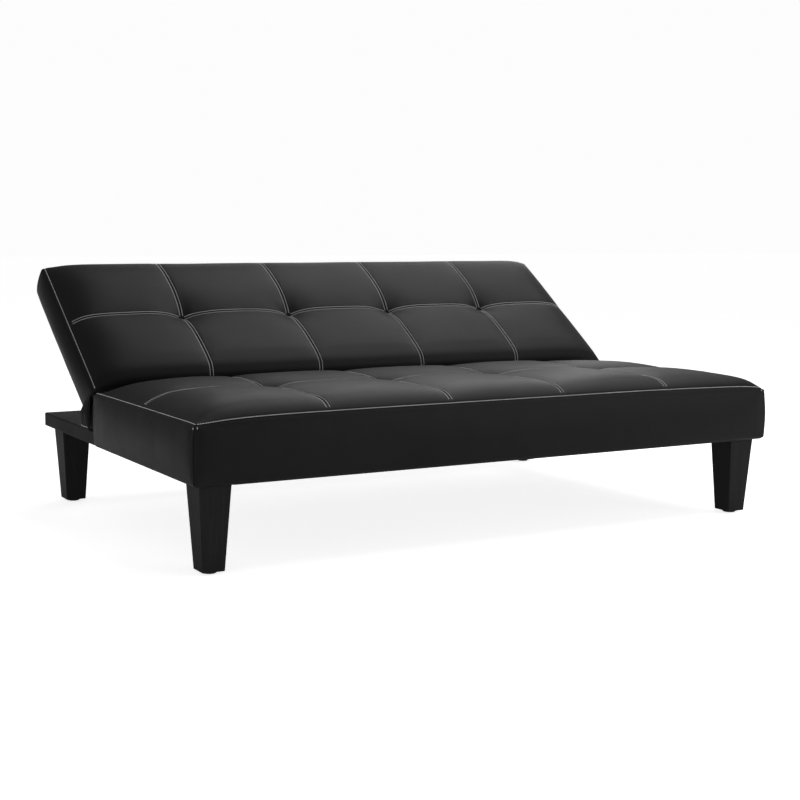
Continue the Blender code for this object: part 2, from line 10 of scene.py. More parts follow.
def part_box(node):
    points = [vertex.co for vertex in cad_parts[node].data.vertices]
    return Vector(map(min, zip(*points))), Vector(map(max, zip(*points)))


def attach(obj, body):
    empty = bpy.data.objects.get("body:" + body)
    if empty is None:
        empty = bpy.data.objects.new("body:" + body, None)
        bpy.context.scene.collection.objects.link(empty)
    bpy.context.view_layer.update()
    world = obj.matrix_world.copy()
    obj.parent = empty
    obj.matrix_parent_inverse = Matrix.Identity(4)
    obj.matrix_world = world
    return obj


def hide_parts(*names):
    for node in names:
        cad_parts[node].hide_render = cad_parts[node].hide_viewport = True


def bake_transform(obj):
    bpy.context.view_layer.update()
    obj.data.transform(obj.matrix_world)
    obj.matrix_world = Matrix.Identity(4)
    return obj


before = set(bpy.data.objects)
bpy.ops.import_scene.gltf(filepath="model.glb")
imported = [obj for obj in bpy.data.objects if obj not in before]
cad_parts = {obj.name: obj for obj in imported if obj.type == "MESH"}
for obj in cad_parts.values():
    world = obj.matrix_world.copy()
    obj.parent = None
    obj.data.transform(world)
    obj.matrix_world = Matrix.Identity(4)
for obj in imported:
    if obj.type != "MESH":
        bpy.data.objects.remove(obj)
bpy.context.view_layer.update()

# ---------------------------------------------------------------- places, from the CAD
Y0 = 0.590804                 # the seat's front face stands this far in front of the origin
HW, SEAT_D = 0.840, 0.680
SEAT_Z0, SEAT_Z1 = 0.2070, 0.3500
BACK_L, BACK_T = 0.536, 0.0946
LOUNGE = radians(35.3)
CORNER = (0.6895 - Y0, 0.3550)          # the back's lower front edge at rest, as (y, z)
ARM_TOP = 0.2465
SLOT_X0, SLOT_X1, SLOT_U = 0.7983, 0.8087, 0.095
SEAMS_X = (-0.504, -0.168, 0.168, 0.504)
SEAT_CROSS, BACK_CROSS = 0.340, 0.268
ROW = 0.0047                  # a stitch row stands this far each side of its seam
RADIUS = 0.0100
SIDES = (("left", -1.0), ("right", 1.0))


# ---------------------------------------------------------------- mesh tools
def ticks(lo, hi, step, radius, hot=(), near=(0.0012, 0.0025, 0.0038, 0.0047, 0.0058, 0.008, 0.012)):
    """Grid lines from lo to hi: one each step, closer in the rounded edges and at each seam."""
    marks = [lo, hi]
    for k in (0.06, 0.15, 0.35, 0.6, 0.8, 1.0, 1.5, 2.2):
        marks += [lo + radius * k, hi - radius * k]
    for h in hot:
        marks += [h] + [h - d for d in near] + [h + d for d in near]
    marks = sorted({round(m, 6) for m in marks if lo - 1e-9 <= m <= hi + 1e-9})
    out = [marks[0]]
    for m in marks[1:]:
        a, gap = out[-1], m - out[-1]
        n = max(1, int(ceil(gap / step - 1e-6)))
        out += [a + gap * k / n for k in range(1, n + 1)]
    return np.array(out)


def skin(xs, ys, zs):
    """The outer faces of a block of grid lines: each point's block coordinates, the quads and the index map."""
    nx, ny, nz = len(xs), len(ys), len(zs)
    i, j, k = np.meshgrid(np.arange(nx), np.arange(ny), np.arange(nz), indexing="ij")
    on = (i == 0) | (i == nx - 1) | (j == 0) | (j == ny - 1) | (k == 0) | (k == nz - 1)
    index = -np.ones((nx, ny, nz), int)
    index[on] = np.arange(int(on.sum()))
    param = np.stack([xs[i[on]], ys[j[on]], zs[k[on]]], 1)
    faces = []

    def quads(m, turn):
        a, b, c, d = m[:-1, :-1], m[1:, :-1], m[1:, 1:], m[:-1, 1:]
        four = (a, b, c, d) if turn else (a, d, c, b)
        faces.append(np.stack([v.ravel() for v in four], 1))

    quads(index[:, :, -1], True)
    quads(index[:, :, 0], False)
    quads(index[:, 0, :], True)
    quads(index[:, -1, :], False)
    quads(index[0], False)
    quads(index[-1], True)
    return param, np.concatenate(faces), index


def rounded(p, lo, hi, r):
    """Block coordinates on a box with rounded edges, and the outward direction there."""
    q = np.clip(p, np.array(lo) + r, np.array(hi) - r)
    d = p - q
    n = d / np.linalg.norm(d, axis=1, keepdims=True)
    return q + n * r, n


def mesh_from(name, co, quads, smooth=True):
    mesh = bpy.data.meshes.new(name)
    mesh.vertices.add(len(co))
    mesh.vertices.foreach_set("co", np.ascontiguousarray(co, np.float32).ravel())
    quads = np.ascontiguousarray(quads, np.int32)
    mesh.loops.add(quads.size)
    mesh.loops.foreach_set("vertex_index", quads.ravel())
    mesh.polygons.add(len(quads))
    mesh.polygons.foreach_set("loop_start", np.arange(0, quads.size, quads.shape[1], dtype=np.int32))
    mesh.update(calc_edges=True)
    mesh.validate()
    mesh.polygons.foreach_set("use_smooth", [smooth] * len(mesh.polygons))
    obj = bpy.data.objects.new(name, mesh)
    bpy.context.scene.collection.objects.link(obj)
    return obj


def mesh_bm(name, bm, smooth=True):
    bmesh.ops.recalc_face_normals(bm, faces=bm.faces)
    mesh = bpy.data.meshes.new(name)
    bm.to_mesh(mesh)
    bm.free()
    mesh.polygons.foreach_set("use_smooth", [smooth] * len(mesh.polygons))
    obj = bpy.data.objects.new(name, mesh)
    bpy.context.scene.collection.objects.link(obj)
    return obj


def waves(a, b, size, seed, count=7):
    """A smooth, repeatable unevenness from -1 to 1 over the two coordinates."""
    rng = np.random.default_rng(seed)
    out = np.zeros_like(a)
    for _ in range(count):
        t, ph, s = rng.uniform(0, 2 * pi), rng.uniform(0, 2 * pi), rng.uniform(0.6, 1.7)
        out += np.sin((a * cos(t) + b * sin(t)) * 2 * pi / (size * s) + ph)
    return out / count * 1.6


def fall(d, length):
    """0 at an edge, rising to 1 over about the stated length."""
    return 1.0 - np.exp(-np.maximum(d, 0.0) / length)


def seam_gap(x):
    return np.min(np.abs(x[:, None] - np.array(SEAMS_X)[None, :]), axis=1)


def stitched(x, v, cross, seed, groove=0.0019, tuft=(0.0095, 0.058)):
    """What the seams, stitch rows, tufts and puckers take off a top at (x, v)."""
    dx, dv = seam_gap(x), np.abs(v - cross)
    drop = np.zeros_like(x)
    for d, along in ((dx, v), (dv, x)):
        drop += groove * np.exp(-((d / 0.0019) ** 2))
        drop += 0.0006 * np.exp(-(((d - ROW) / 0.0012) ** 2))
        drop += 0.0022 * np.exp(-d / 0.010)
        drop += 0.0007 * waves(along, d, 0.022, seed + 3) * np.exp(-((d - 0.012) / 0.009) ** 2)
    for k, sx in enumerate(SEAMS_X):
        r = np.hypot(x - sx, v - cross)
        a = np.arctan2(v - cross, x - sx)
        drop += tuft[0] * np.exp(-((r / tuft[1]) ** 2)) + 0.0070 * np.exp(-((r / 0.022) ** 2))
        rng = np.random.default_rng(seed + 20 + k)
        fan = np.zeros_like(x)
        for n in (3, 5, 8):
            fan += np.cos(n * a + rng.uniform(0, 2 * pi)) / n
        drop += 0.0026 * fan * np.exp(-((r - 0.030) / 0.022) ** 2)
    return drop


# ---------------------------------------------------------------- the two cushions' shapes
def seat_shape(p, fine=True):
    """Block coordinates (x, y behind the front, z) to places in the frame."""
    lo, hi = (-HW, 0.0, SEAT_Z0), (HW, SEAT_D, SEAT_Z1)
    pos, n = rounded(p, lo, hi, RADIUS)
    x, y, z = p[:, 0], p[:, 1], p[:, 2]
    side, rear = HW - np.abs(x) - 0.005, SEAT_D - y - 0.018
    front = np.maximum(y - 0.005, 0.0)
    # towards the right end the top is lower and squarer
    g = np.clip((x - 0.42) / 0.36, 0, 1)
    g = g * g * (3 - 2 * g)
    rise = (fall(side, 0.036 - 0.016 * g) * fall(rear, 0.046)
            * ((0.012 - 0.004 * g) * fall(side, 0.10) + (0.036 - 0.008 * g) * fall(front, 0.024 - 0.014 * g)))
    dx, dv = seam_gap(x), np.abs(y - SEAT_CROSS)
    inside = fall(side, 0.05) * fall(front, 0.035) * fall(rear, 0.05)
    rise -= inside * (0.0065 * np.exp(-dx / 0.050) + 0.0040 * np.exp(-dv / 0.050))
    rise += inside * 0.0014 * waves(x, y, 0.21, 5)
    if fine:
        rise -= np.minimum(1.0, 0.25 + inside) * stitched(x, y, SEAT_CROSS, 11) * fall(rear + .004, .006) * fall(front + 0.001, 0.006) * fall(side, 0.006)
    up = np.clip((n[:, 2] - 0.25) / 0.75, 0, 1)
    pos[:, 2] += rise * up
    # the sides swell gently between their edges
    t = np.clip((z - SEAT_Z0) / (SEAT_Z1 - SEAT_Z0), 0, 1)
    swell = np.sin(pi * t) ** 0.8
    along = fall(HW - np.abs(x), 0.06)
    # the right end is fuller, right up to its corners
    right = x > 0
    ends = np.where(right, 0.70, 0.35)
    deep = ends + (1 - ends) * fall(y, 0.05) * fall(SEAT_D - y, 0.05)
    pos[:, 1] -= 0.0055 * swell * along * np.clip(-n[:, 1], 0, 1)
    pos[:, 0] += np.where(right, 0.0110, 0.0090) * swell * deep * n[:, 0]
    out = np.clip((np.abs(x) - 0.79) / 0.05, 0, 1)
    pos[:, 0] += out * np.where(right, 0.0080 + 0.0060 * (1 - t), -0.0045)
    if fine:
        face = np.clip(1 - np.abs(n[:, 2]), 0, 1) * np.sin(pi * t) ** 0.5
        amp = (0.0007 * waves(x + y, 2.2 * z, 0.19, 31) + 0.00015 * waves(x + y, z, 0.05, 32)) * face
        amp = np.where(n[:, 1] > 0.05, np.minimum(amp, 0.0) - 0.0006, amp)
        pos[:, :2] += n[:, :2] * amp[:, None]
        # the fold under the top edge, and the upright seam at each corner
        fold = np.exp(-(((n[:, 2] - 0.62) / 0.16) ** 2)) * (np.abs(n[:, 2]) < 0.98)
        pos -= n * (0.0013 * fold)[:, None]
        upright = np.abs(np.abs(n[:, 0]) - np.abs(n[:, 1]))
        flat = np.hypot(n[:, 0], n[:, 1]) > 0.85
        pos += n * (0.0022 * np.exp(-((upright / 0.45) ** 2)) * flat)[:, None]
        pos -= n * (0.0024 * np.exp(-((upright / 0.10) ** 2)) * flat)[:, None]
    # the cloth underneath lies in a shallow rebate
    low = n[:, 2] < -0.985
    pos[low, 2] = SEAT_Z0 + 0.0014
    pos[:, 1] -= Y0
    return pos


def back_flat(p, fine=True):
    """Block coordinates (x, u up from the lower edge, v out of the front) to the same frame, shaped."""
    lo, hi = (-HW, 0.0, -BACK_T), (HW, BACK_L, 0.0)
    pos, n = rounded(p, lo, hi, RADIUS)
    x, u, v = p[:, 0], p[:, 1], p[:, 2]
    side, top = HW - np.abs(x) - 0.004, BACK_L - u - 0.004
    rise = (0.050 * fall(side, 0.038) * fall(u - 0.004, 0.017)
            * (0.42 * fall(top, 0.008) + 0.58 * fall(top, 0.060)))
    dx, dv = seam_gap(x), np.abs(u - BACK_CROSS)
    inside = fall(side, 0.05) * fall(u, 0.05) * fall(top, 0.05)
    rise -= inside * (0.0030 * np.exp(-dx / 0.050) + 0.0085 * np.exp(-dv / 0.060))
    rise += inside * 0.0012 * waves(x, u, 0.23, 7)
    if fine:
        rise -= np.minimum(1.0, 0.25 + inside) * stitched(x, u, BACK_CROSS, 47, tuft=(0.0140, 0.062)) * fall(top, 0.006) * fall(u - 0.002, 0.006) * fall(side, 0.006)
    out = np.clip((n[:, 2] - 0.25) / 0.75, 0, 1)
    pos[:, 2] += rise * out
    t = np.clip((v + BACK_T) / BACK_T, 0, 1)
    swell = np.sin(pi * t) ** 0.8
    pos[:, 1] += 0.0050 * swell * fall(HW - np.abs(x), 0.05) * np.clip(n[:, 1], 0, 1)
    pos[:, 0] += 0.0120 * swell * (0.5 + 0.5 * fall(u, 0.05) * fall(BACK_L - u, 0.05)) * n[:, 0]
    if fine:
        face = np.clip(1 - np.abs(n[:, 2]), 0, 1) * np.sin(pi * t) ** 0.5
        amp = (0.0006 * waves(x + u, 2.2 * v, 0.17, 61) + 0.00015 * waves(x + u, v, 0.045, 62)) * face
        pos[:, :2] += n[:, :2] * amp[:, None]
        fold = np.exp(-(((n[:, 2] - 0.62) / 0.16) ** 2)) * (np.abs(n[:, 2]) < 0.98)
        pos -= n * (0.0012 * fold)[:, None]
        upright = np.abs(np.abs(n[:, 0]) - np.abs(n[:, 1]))
        flat = np.hypot(n[:, 0], n[:, 1]) > 0.85
        pos += n * (0.0018 * np.exp(-((upright / 0.45) ** 2)) * flat)[:, None]
        pos -= n * (0.0020 * np.exp(-((upright / 0.10) ** 2)) * flat)[:, None]
    low = n[:, 2] < -0.985
    pos[low, 2] = -BACK_T + 0.0016
    return pos


def stand(pos):
    """From the back's own (x, u, v) to the frame."""
    c, s = cos(LOUNGE), sin(LOUNGE)
    out = pos.copy()
    out[:, 1] = CORNER[0] + pos[:, 1] * c - pos[:, 2] * s
    out[:, 2] = CORNER[1] + pos[:, 1] * s + pos[:, 2] * c
    return out


# ---------------------------------------------------------------- the air in the padding
def puff(shape, xs, ys, zs, cross, top_z, cap, pressure=4.0, frames=20):
    """A cloth simulation of the cover over its filling, held at its seams, edges and underside.
    It gives how far each grid point of the block moved, at most cap."""
    param, quads, index = skin(xs, ys, zs)
    rest = shape(param, False)
    obj = mesh_from("puff", rest, quads)
    x, v, z = param[:, 0], param[:, 1], param[:, 2]
    held = obj.vertex_groups.new(name="held")
    upper = z > top_z - 1e-6
    seam = upper & ((seam_gap(x) < 0.004) | (np.abs(v - cross) < 0.004))
    edge = upper & ((np.abs(x) > HW - 1e-6) | (v < ys[0] + 1e-6) | (v > ys[-1] - 1e-6))
    under = z < zs[0] + 0.012
    upright = (np.abs(x) > HW - 1e-6) & ((v < ys[0] + 1e-6) | (v > ys[-1] - 1e-6))
    for k in np.nonzero(edge | under | upright)[0]:
        held.add([int(k)], 1.0, "REPLACE")
    for k in np.nonzero(seam & ~edge)[0]:
        held.add([int(k)], 0.92, "REPLACE")
    cloth = obj.modifiers.new("cloth", "CLOTH")
    s = cloth.settings
    s.quality = 5
    s.mass = 0.35
    s.tension_stiffness = s.compression_stiffness = 22
    s.shear_stiffness = 12
    s.bending_stiffness = 1.2
    s.use_pressure = True
    s.uniform_pressure_force = pressure
    s.vertex_group_mass = "held"
    s.effector_weights.gravity = 0
    cloth.collision_settings.use_collision = False
    cloth.collision_settings.use_self_collision = False
    cloth.point_cache.frame_start, cloth.point_cache.frame_end = 1, frames
    scene = bpy.context.scene
    scene.frame_start, scene.frame_end = 1, frames
    for f in range(1, frames + 1):
        scene.frame_set(f)
    dg = bpy.context.evaluated_depsgraph_get()
    made = obj.evaluated_get(dg).to_mesh()
    co = np.zeros(len(rest) * 3, np.float32)
    made.vertices.foreach_get("co", co)
    moved = co.reshape(-1, 3) - rest
    obj.evaluated_get(dg).to_mesh_clear()
    scene.frame_set(1)
    bpy.data.objects.remove(obj)
    length = np.linalg.norm(moved, axis=1, keepdims=True)
    moved *= cap * np.tanh(length / cap) / np.maximum(length, 1e-9)
    grid = np.zeros(index.shape + (3,))
    grid[index >= 0] = moved
    return grid


def spread(grid, xs, ys, zs, p):
    """The block's movement at points between its grid lines."""
    def cell(lines, t):
        k = np.clip(np.searchsorted(lines, t, side="right") - 1, 0, len(lines) - 2)
        return k, np.clip((t - lines[k]) / (lines[k + 1] - lines[k]), 0, 1)
    (i, a), (j, b), (k, c) = cell(xs, p[:, 0]), cell(ys, p[:, 1]), cell(zs, p[:, 2])
    out = 0
    for di in (0, 1):
        for dj in (0, 1):
            for dk in (0, 1):
                w = (a if di else 1 - a) * (b if dj else 1 - b) * (c if dk else 1 - c)
                out = out + w[:, None] * grid[i + di, j + dj, k + dk]
    return out


def cushion(name, shape, lo, hi, cross, cap):
    """The cover as one closed fine mesh, and a way to find its top at any (x, v)."""
    fine = (ticks(lo[0], hi[0], 0.0085, RADIUS, SEAMS_X), ticks(lo[1], hi[1], 0.0085, RADIUS, (cross,)),
            ticks(lo[2], hi[2], 0.0085, RADIUS))
    param, quads, index = skin(*fine)
    co = shape(param)
    def coarse(a, b, step, hot=()):
        return ticks(a, b, step, RADIUS, hot, near=(0.010,))
    rough = (coarse(lo[0], hi[0], 0.020, SEAMS_X), coarse(lo[1], hi[1], 0.020, (cross,)),
             coarse(lo[2], hi[2], 0.022))
    moved = puff(shape, *rough, cross, hi[2], cap)
    away = spread(moved, *rough, param)
    # the two cushions' facing edges, which close up as the back rises, keep their shape
    close = (hi[1] - param[:, 1]) / 0.10 if name == "seat_cushion" else param[:, 1] / 0.08
    co = co + away * np.clip(close, 0, 1)[:, None] ** 2
    if name == "back_cushion":
        co = stand(co)
    obj = mesh_from(name, co, quads)
    # the 'crease' attribute is a painted highlight: it makes the top lighter and glossier along its seams and top
    # edges
    seam_highlight_mask = obj.data.attributes.new("crease", "FLOAT", "POINT")
    near = np.minimum(seam_gap(param[:, 0]), np.abs(param[:, 1] - cross))
    near = np.where(param[:, 2] > hi[2] - 1e-6, np.exp(-near / 0.010), 0.0)
    edge = np.exp(-np.minimum(hi[1] - param[:, 1], np.minimum(param[:, 1] - lo[1], HW - np.abs(param[:, 0]))) / 0.007)
    near = np.maximum(near, np.where(param[:, 2] > hi[2] - 1e-6, edge, 0) * 0.8)
    seam_highlight_mask.data.foreach_set("value", near.astype(np.float32))
    top = index[:, :, -1]
    place = co[top]

    def on_top(x, v):
        def cell(lines, t):
            k = np.clip(np.searchsorted(lines, t, side="right") - 1, 0, len(lines) - 2)
            return k, np.clip((t - lines[k]) / (lines[k + 1] - lines[k]), 0, 1)
        (i, a), (j, b) = cell(fine[0], x), cell(fine[1], v)
        a, b = a[:, None], b[:, None]
        return (place[i, j] * (1 - a) * (1 - b) + place[i + 1, j] * a * (1 - b)
                + place[i, j + 1] * (1 - a) * b + place[i + 1, j + 1] * a * b)
    return obj, on_top


# ---------------------------------------------------------------- stitches
def stitch_rows(rows, name, radius=0.00092, pitch=0.0062, length=0.0050):
    """One mesh of sewn stitches. A row is (points along it, outward direction at each)."""
    ring = 6
    angles = np.arange(ring) * 2 * pi / ring
    sizes = np.array([0.35, 0.9, 1.0, 0.9, 0.35])
    steps = np.array([0.0, 0.16, 0.5, 0.84, 1.0])
    lift = np.array([-0.00045, 0.00010, 0.00034, 0.00010, -0.00045])
    verts, quads, tris, base = [], [], [], 0
    for points, out in rows:
        seg = np.linalg.norm(np.diff(points, axis=0), axis=1)
        run = np.concatenate([[0], np.cumsum(seg)])
        count = int(run[-1] / pitch)
        if count < 1:
            continue
        for k in range(count):
            s0 = (run[-1] - count * pitch) / 2 + k * pitch + (pitch - length) / 2
            ss = s0 + steps * length
            c = np.stack([np.interp(ss, run, points[:, m]) for m in range(3)], 1)
            n = np.stack([np.interp(ss, run, out[:, m]) for m in range(3)], 1)
            n /= np.linalg.norm(n, axis=1, keepdims=True)
            t = c[-1] - c[0]
            t /= np.linalg.norm(t) + 1e-12
            b = np.cross(n, t)
            b /= np.linalg.norm(b, axis=1, keepdims=True) + 1e-12
            c = c + n * lift[:, None]
            block = (c[:, None, :] + (np.cos(angles)[None, :, None] * b[:, None, :]
                     + 0.8 * np.sin(angles)[None, :, None] * n[:, None, :]) * (radius * sizes)[:, None, None])
            verts.append(block.reshape(-1, 3))
            for r in range(4):
                for a in range(ring):
                    a2 = (a + 1) % ring
                    quads.append((base + r * ring + a, base + r * ring + a2,
                                  base + (r + 1) * ring + a2, base + (r + 1) * ring + a))
            tris.append([base + a for a in range(ring)][::-1])
            tris.append([base + 4 * ring + a for a in range(ring)])
            base += 5 * ring
    mesh = bpy.data.meshes.new(name)
    mesh.from_pydata(np.concatenate(verts).tolist(), [], quads + tris)
    mesh.polygons.foreach_set("use_smooth", [True] * len(mesh.polygons))
    obj = bpy.data.objects.new(name, mesh)
    bpy.context.scene.collection.objects.link(obj)
    bm = bmesh.new()
    bm.from_mesh(mesh)
    bmesh.ops.recalc_face_normals(bm, faces=bm.faces)
    bm.to_mesh(mesh)
    bm.free()
    return obj


def top_row(on_top, xv, tilt=None):
    """A row over the top through the points (x, v)."""
    x, v = xv[:, 0], xv[:, 1]
    e = 0.0008
    p = on_top(x, v)
    n = np.cross(on_top(x + e, v) - on_top(x - e, v), on_top(x, v + e) - on_top(x, v - e))
    n /= np.linalg.norm(n, axis=1, keepdims=True) + 1e-12
    if n[:, 2].mean() < 0:
        n = -n
    return p, n


def seam_rows(on_top, cross, depth, margin):
    rows = []
    for sx in SEAMS_X:
        for d in (-ROW, ROW):
            for a, b in ((margin, cross - 0.006), (cross + 0.006, depth - margin)):
                v = np.linspace(a, b, int((b - a) / 0.003))
                rows.append(top_row(on_top, np.stack([np.full_like(v, sx + d), v], 1)))
    spans = [-HW + margin] + [s for sx in SEAMS_X for s in (sx - 0.006, sx + 0.006)] + [HW - margin]
    for k in range(0, len(spans), 2):
        for d in (-ROW, ROW):
            x = np.linspace(spans[k], spans[k + 1], int((spans[k + 1] - spans[k]) / 0.003))
            rows.append(top_row(on_top, np.stack([x, np.full_like(x, cross + d)], 1)))
    return rows


def edge_rows(on_top, depth, inset, rear=False):
    rows = []
    lines = [((-HW + inset, inset), (HW - inset, inset)),
             ((-HW + inset, inset), (-HW + inset, depth - inset)),
             ((HW - inset, inset), (HW - inset, depth - inset))]
    if rear:
        lines.append(((-HW + inset, depth - inset), (HW - inset, depth - inset)))
    for a, b in lines:
        n = int(max(abs(b[0] - a[0]), abs(b[1] - a[1])) / 0.004)
        t = np.linspace(0, 1, n)[:, None]
        rows.append(top_row(on_top, np.array(a)[None] * (1 - t) + np.array(b)[None] * t))
    return rows


# ---------------------------------------------------------------- materials
class Nodes:
    """A material's node tree, with short calls for what is used here."""

    def __init__(self, name):
        self.mat = bpy.data.materials.new(name)
        self.mat.use_nodes = True
        self.tree = self.mat.node_tree
        self.tree.nodes.clear()
        self.out = self.add("ShaderNodeOutputMaterial")
        self.bsdf = self.add("ShaderNodeBsdfPrincipled")
        self.link(self.bsdf.outputs[0], self.out.inputs[0])
        self.where = self.add("ShaderNodeTexCoord").outputs["Object"]

    def add(self, kind, **values):
        node = self.tree.nodes.new(kind)
        for key, value in values.items():
            setattr(node, key, value)
        return node

    def link(self, a, b):
        self.tree.links.new(a, b)

    def stretch(self, scale):
        m = self.add("ShaderNodeMapping")
        m.inputs["Scale"].default_value = scale
        self.link(self.where, m.inputs["Vector"])
        return m.outputs[0]

    def noise(self, scale, detail=4.0, rough=0.55, vector=None, distortion=0.0):
        n = self.add("ShaderNodeTexNoise")
        n.inputs["Scale"].default_value = scale
        n.inputs["Detail"].default_value = detail
        n.inputs["Roughness"].default_value = rough
        n.inputs["Distortion"].default_value = distortion
        self.link(vector or self.where, n.inputs["Vector"])
        return n.outputs[0]

    def voronoi(self, scale, feature="F1", vector=None):
        n = self.add("ShaderNodeTexVoronoi", feature=feature)
        n.inputs["Scale"].default_value = scale
        self.link(vector or self.where, n.inputs["Vector"])
        return n.outputs[0]

    def wave(self, scale, distortion=1.0, axis="X", vector=None, detail=2.0):
        n = self.add("ShaderNodeTexWave", bands_direction=axis)
        n.inputs["Scale"].default_value = scale
        n.inputs["Distortion"].default_value = distortion
        n.inputs["Detail"].default_value = detail
        self.link(vector or self.where, n.inputs["Vector"])
        return n.outputs[1]

    def ramp(self, value, stops):
        r = self.add("ShaderNodeValToRGB")
        e = r.color_ramp.elements
        while len(e) < len(stops):
            e.new(0.5)
        for el, (at, colour) in zip(e, stops):
            el.position = at
            el.color = (*colour, 1.0) if len(colour) == 3 else colour
        self.link(value, r.inputs[0])
        return r.outputs[0]

    def scaled(self, value, low, high, a=0.0, b=1.0):
        m = self.add("ShaderNodeMapRange")
        m.inputs["From Min"].default_value, m.inputs["From Max"].default_value = a, b
        m.inputs["To Min"].default_value, m.inputs["To Max"].default_value = low, high
        self.link(value, m.inputs["Value"])
        return m.outputs[0]

    def math(self, op, a, b):
        m = self.add("ShaderNodeMath", operation=op)
        for socket, value in zip(m.inputs, (a, b)):
            if isinstance(value, (int, float)):
                socket.default_value = value
            else:
                self.link(value, socket)
        return m.outputs[0]

    def mix(self, factor, a, b):
        m = self.add("ShaderNodeMix", data_type="RGBA")
        if isinstance(factor, (int, float)):
            m.inputs[0].default_value = factor
        else:
            self.link(factor, m.inputs[0])
        for socket, value in ((m.inputs[6], a), (m.inputs[7], b)):
            if isinstance(value, tuple):
                socket.default_value = (*value, 1.0)
            else:
                self.link(value, socket)
        return m.outputs[2]

    def attribute(self, name):
        return self.add("ShaderNodeAttribute", attribute_name=name).outputs["Fac"]

    def bump(self, height, strength, distance, under=None):
        b = self.add("ShaderNodeBump")
        b.inputs["Strength"].default_value = strength
        b.inputs["Distance"].default_value = distance
        self.link(height, b.inputs["Height"])
        if under is not None:
            self.link(under, b.inputs["Normal"])
        return b.outputs[0]

    def finish(self, colour=None, rough=None, normal=None, **values):
        for socket, value in (("Base Color", colour), ("Roughness", rough), ("Normal", normal)):
            if value is not None:
                self.link(value, self.bsdf.inputs[socket])
        for key, value in values.items():
            self.bsdf.inputs[key.replace("_", " ")].default_value = value
        return self.mat


def leather(name, dark=0.0045, light=0.0078, rough=(0.40, 0.50), seam=True, spec=0.18, coat=0.0):
    m = Nodes(name)
    patch = m.noise(5.5, 3.0, 0.5)
    fine = m.noise(260.0, 2.0, 0.6)
    cells = m.voronoi(900.0)
    creases = m.voronoi(420.0, "DISTANCE_TO_EDGE", m.stretch((1.0, 1.25, 1.0)))
    pull = m.noise(38.0, 4.0, 0.6, m.stretch((1.0, 1.7, 1.0)), 0.6)
    colour = m.mix(m.scaled(patch, 0.0, 1.0, 0.3, 0.7), (dark, dark, dark * 1.03), (light, light, light * 1.03))
    # painted shade: the grain's crease lines are painted darker
    colour = m.mix(m.scaled(creases, 0.30, 0.0, 0.0, 0.06), colour, (dark * 0.5, dark * 0.5, dark * 0.5))
    r = m.scaled(m.math("ADD", m.math("MULTIPLY", patch, 0.7), m.math("MULTIPLY", fine, 0.3)), rough[0], rough[1], 0.3, 0.7)
    if seam:
        # painted highlight: the top is painted lighter and glossier along its seams and top edges, from the 'crease'
        # attribute
        painted_seam_highlight = m.attribute("crease")
        colour = m.mix(m.math("MULTIPLY", painted_seam_highlight, 0.55), colour, (light * 1.5, light * 1.5, light * 1.5))
        r = m.math("ADD", r, m.math("MULTIPLY", painted_seam_highlight, -0.03))
    normal = m.bump(m.scaled(creases, 0.0, 1.0, 0.0, 0.10), 0.20, 0.00022)
    normal = m.bump(cells, 0.10, 0.00010, normal)
    normal = m.bump(pull, 0.13, 0.0011, normal)
    return m.finish(colour, r, normal, Specular_IOR_Level=spec, IOR=1.47, Sheen_Weight=0.03,
                    Sheen_Roughness=0.5, Coat_Weight=coat, Coat_Roughness=0.35)


def thread(name):
    m = Nodes(name)
    twist = m.wave(420.0, 1.5, "DIAGONAL")
    dust = m.noise(30.0, 2.0)
    colour = m.mix(m.scaled(dust, 0, 1, 0.35, 0.7), (0.82, 0.82, 0.81), (0.93, 0.93, 0.92))
    # painted shade: the twist's grooves are painted darker
    colour = m.mix(m.scaled(twist, 0.35, 0.0), colour, (0.40, 0.40, 0.41))
    normal = m.bump(twist, 0.5, 0.00018)
    return m.finish(colour, m.scaled(dust, 0.6, 0.8), normal, Sheen_Weight=0.25, Sheen_Roughness=0.4,
                    Specular_IOR_Level=0.3)


def cloth(name, tint=0.012, bond=True):
    """Thin black spun-bonded cloth with its pattern of pressed points."""
    m = Nodes(name)
    points = m.voronoi(620.0)
    fibre = m.noise(900.0, 3.0, 0.7, m.stretch((1.0, 0.35, 1.0)))
    fold = m.noise(9.0, 3.0)
    colour = m.mix(m.scaled(fibre, 0.0, 1.0, 0.3, 0.7), (tint, tint, tint), (tint * 2.4, tint * 2.4, tint * 2.5))
    colour = m.mix(m.scaled(points, 0.4, 0.0, 0.0, 0.35), colour, (tint * 0.6,) * 3)
    normal = m.bump(points, 0.35, 0.00025)
    normal = m.bump(fold, 0.4, 0.004, normal)
    return m.finish(colour, m.scaled(fibre, 0.75, 0.92), normal, Sheen_Weight=0.15, Sheen_Roughness=0.6,
                    Specular_IOR_Level=0.2)


def wood(name, dark, light, scale=1.0, rough=(0.30, 0.42), axis=(9.0, 9.0, 0.6), coat=0.0, bump=0.12, spec=0.45):
    m = Nodes(name)
    run = m.stretch(axis)
    grain = m.noise(9.0 * scale, 6.0, 0.65, run, 0.8)
    pores = m.noise(70.0 * scale, 3.0, 0.7, run)
    blotch = m.noise(6.0, 2.0)
    colour = m.mix(m.scaled(grain, 0.0, 1.0, 0.3, 0.7), dark, light)
    colour = m.mix(m.scaled(pores, 0.0, 0.6, 0.55, 0.7), colour, tuple(c * 0.5 for c in dark))
    r = m.scaled(m.math("ADD", m.math("MULTIPLY", blotch, 0.6), m.math("MULTIPLY", pores, 0.4)), rough[0], rough[1], 0.3, 0.7)
    normal = m.bump(pores, bump, 0.00035)
    normal = m.bump(grain, bump, 0.0006, normal)
    return m.finish(colour, r, normal, Specular_IOR_Level=spec, Coat_Weight=coat, Coat_Roughness=0.2)


